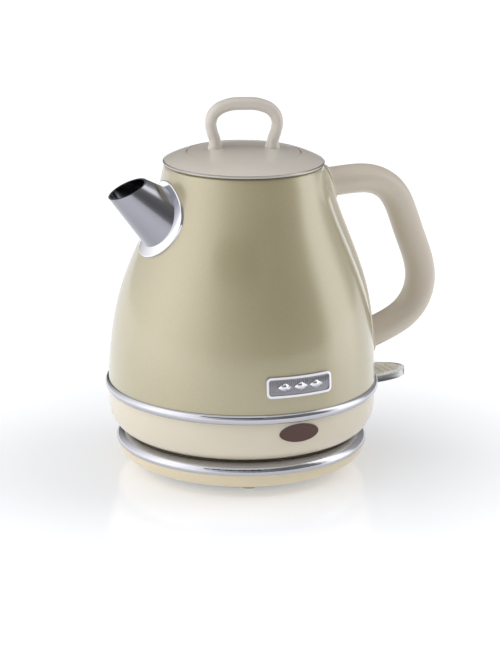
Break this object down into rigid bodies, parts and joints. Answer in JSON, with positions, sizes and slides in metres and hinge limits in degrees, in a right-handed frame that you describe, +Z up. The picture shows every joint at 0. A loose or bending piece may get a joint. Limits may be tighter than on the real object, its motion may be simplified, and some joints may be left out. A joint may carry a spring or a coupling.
{
  "type": "electric kettle",
  "caption": "Retro bell-shaped electric kettle with cone spout, D-loop handle, lift-off lid with loop knob and a round 360-degree power base.",
  "frame": {"origin": "on the body's vertical axis at the level of the surface it stands on", "axes": "+Z up; +X towards the handle; -X towards the spout; -Y towards the badge and the lamp lens"},
  "size_m": [0.1954, 0.15, 0.2031],
  "materials": {
    "pearl_paint": "champagne pearl enamel, glossy",
    "cream_plastic": "cream, smooth moulded",
    "base_cream": "warm cream, smooth moulded",
    "grip_plastic": "satin cream soft-feel",
    "bright_chrome": "bright plated",
    "polished_steel": "polished stainless steel",
    "brushed_steel": "brushed stainless steel",
    "aluminium": "cast and extruded",
    "brass": "contact brass",
    "black_plastic": "black glass-filled moulding",
    "rubber": "silicone, off-white",
    "clear_plastic": "clear polycarbonate",
    "window_glass": "clear, slightly smoked",
    "lamp_glass": "neon tube glass",
    "lens_plastic": "dark brown translucent",
    "badge_field": "grey, finely hatched, no lettering"
  },
  "bodies": {
    "base": {"base_shell": "base_cream", "base_trim_ring": "bright_chrome", "base_top_plate": "cream_plastic", "base_hub": "black_plastic", "base_contacts": "brass", "base_bottom_cover": "base_cream", "base_feet": "rubber", "base_screws": "brushed_steel", "cord_outlet": "black_plastic", "base_terminal_block": "black_plastic"},
    "kettle": {"body_shell": "pearl_paint", "body_ring": "bright_chrome", "lower_housing": "cream_plastic", "heating_plate": "brushed_steel", "plate_seal": "rubber", "heating_element": "aluminium", "control_unit": "black_plastic", "control_contacts": "brass", "underside_cover": "cream_plastic", "cover_screws": "brushed_steel", "steam_tube": "black_plastic", "steam_switch": "black_plastic", "bimetal_disc": "brass", "spout": "polished_steel", "spout_collar": "polished_steel", "strainer_frame": "cream_plastic", "strainer_mesh": "brushed_steel", "handle_spine": "grip_plastic", "water_window": "window_glass", "window_gasket": "rubber", "handle_grip": "grip_plastic", "handle_upper_collar": "grip_plastic", "handle_lower_collar": "grip_plastic", "handle_screws": "brushed_steel", "switch_pin": "brushed_steel", "switch_bracket": "black_plastic", "switch_block": "black_plastic", "lamp_lens": "lens_plastic", "neon_lamp": "lamp_glass", "lamp_holder": "black_plastic", "badge_frame": "bright_chrome", "badge_plate": "badge_field"},
    "lever": {"switch_lever": "clear_plastic", "switch_pad": "cream_plastic"},
    "plunger": {"switch_plunger": "cream_plastic"},
    "lid": {"lid_trim_ring": "polished_steel", "lid_shell": "grip_plastic", "lid_disc": "grip_plastic", "lid_knob": "grip_plastic", "lid_liner": "brushed_steel", "lid_seal": "rubber", "lid_core": "cream_plastic", "knob_screws": "brushed_steel"}
  },
  "joints": [
    {"name": "kettle_lift", "type": "slide", "parent": "base", "child": "kettle", "axis": [0, 0, 1], "range_m": [0, 0.12]},
    {"name": "lid_lift", "type": "slide", "parent": "kettle", "child": "lid", "axis": [0, 0, 1], "range_m": [0, 0.08]},
    {"name": "switch_tilt", "type": "hinge", "parent": "kettle", "child": "lever", "pos_m": [0.062, 0, 0.0403], "axis": [0, 1, 0], "range_deg": [0, 9]},
    {"name": "switch_push", "type": "slide", "parent": "kettle", "child": "plunger", "axis": [0, 0, 1], "range_m": [0, 0.00145]}
  ],
  "couplings": [
    {"joint": "switch_push", "follows": "switch_tilt", "m_per_rad": 0.0092}
  ]
}
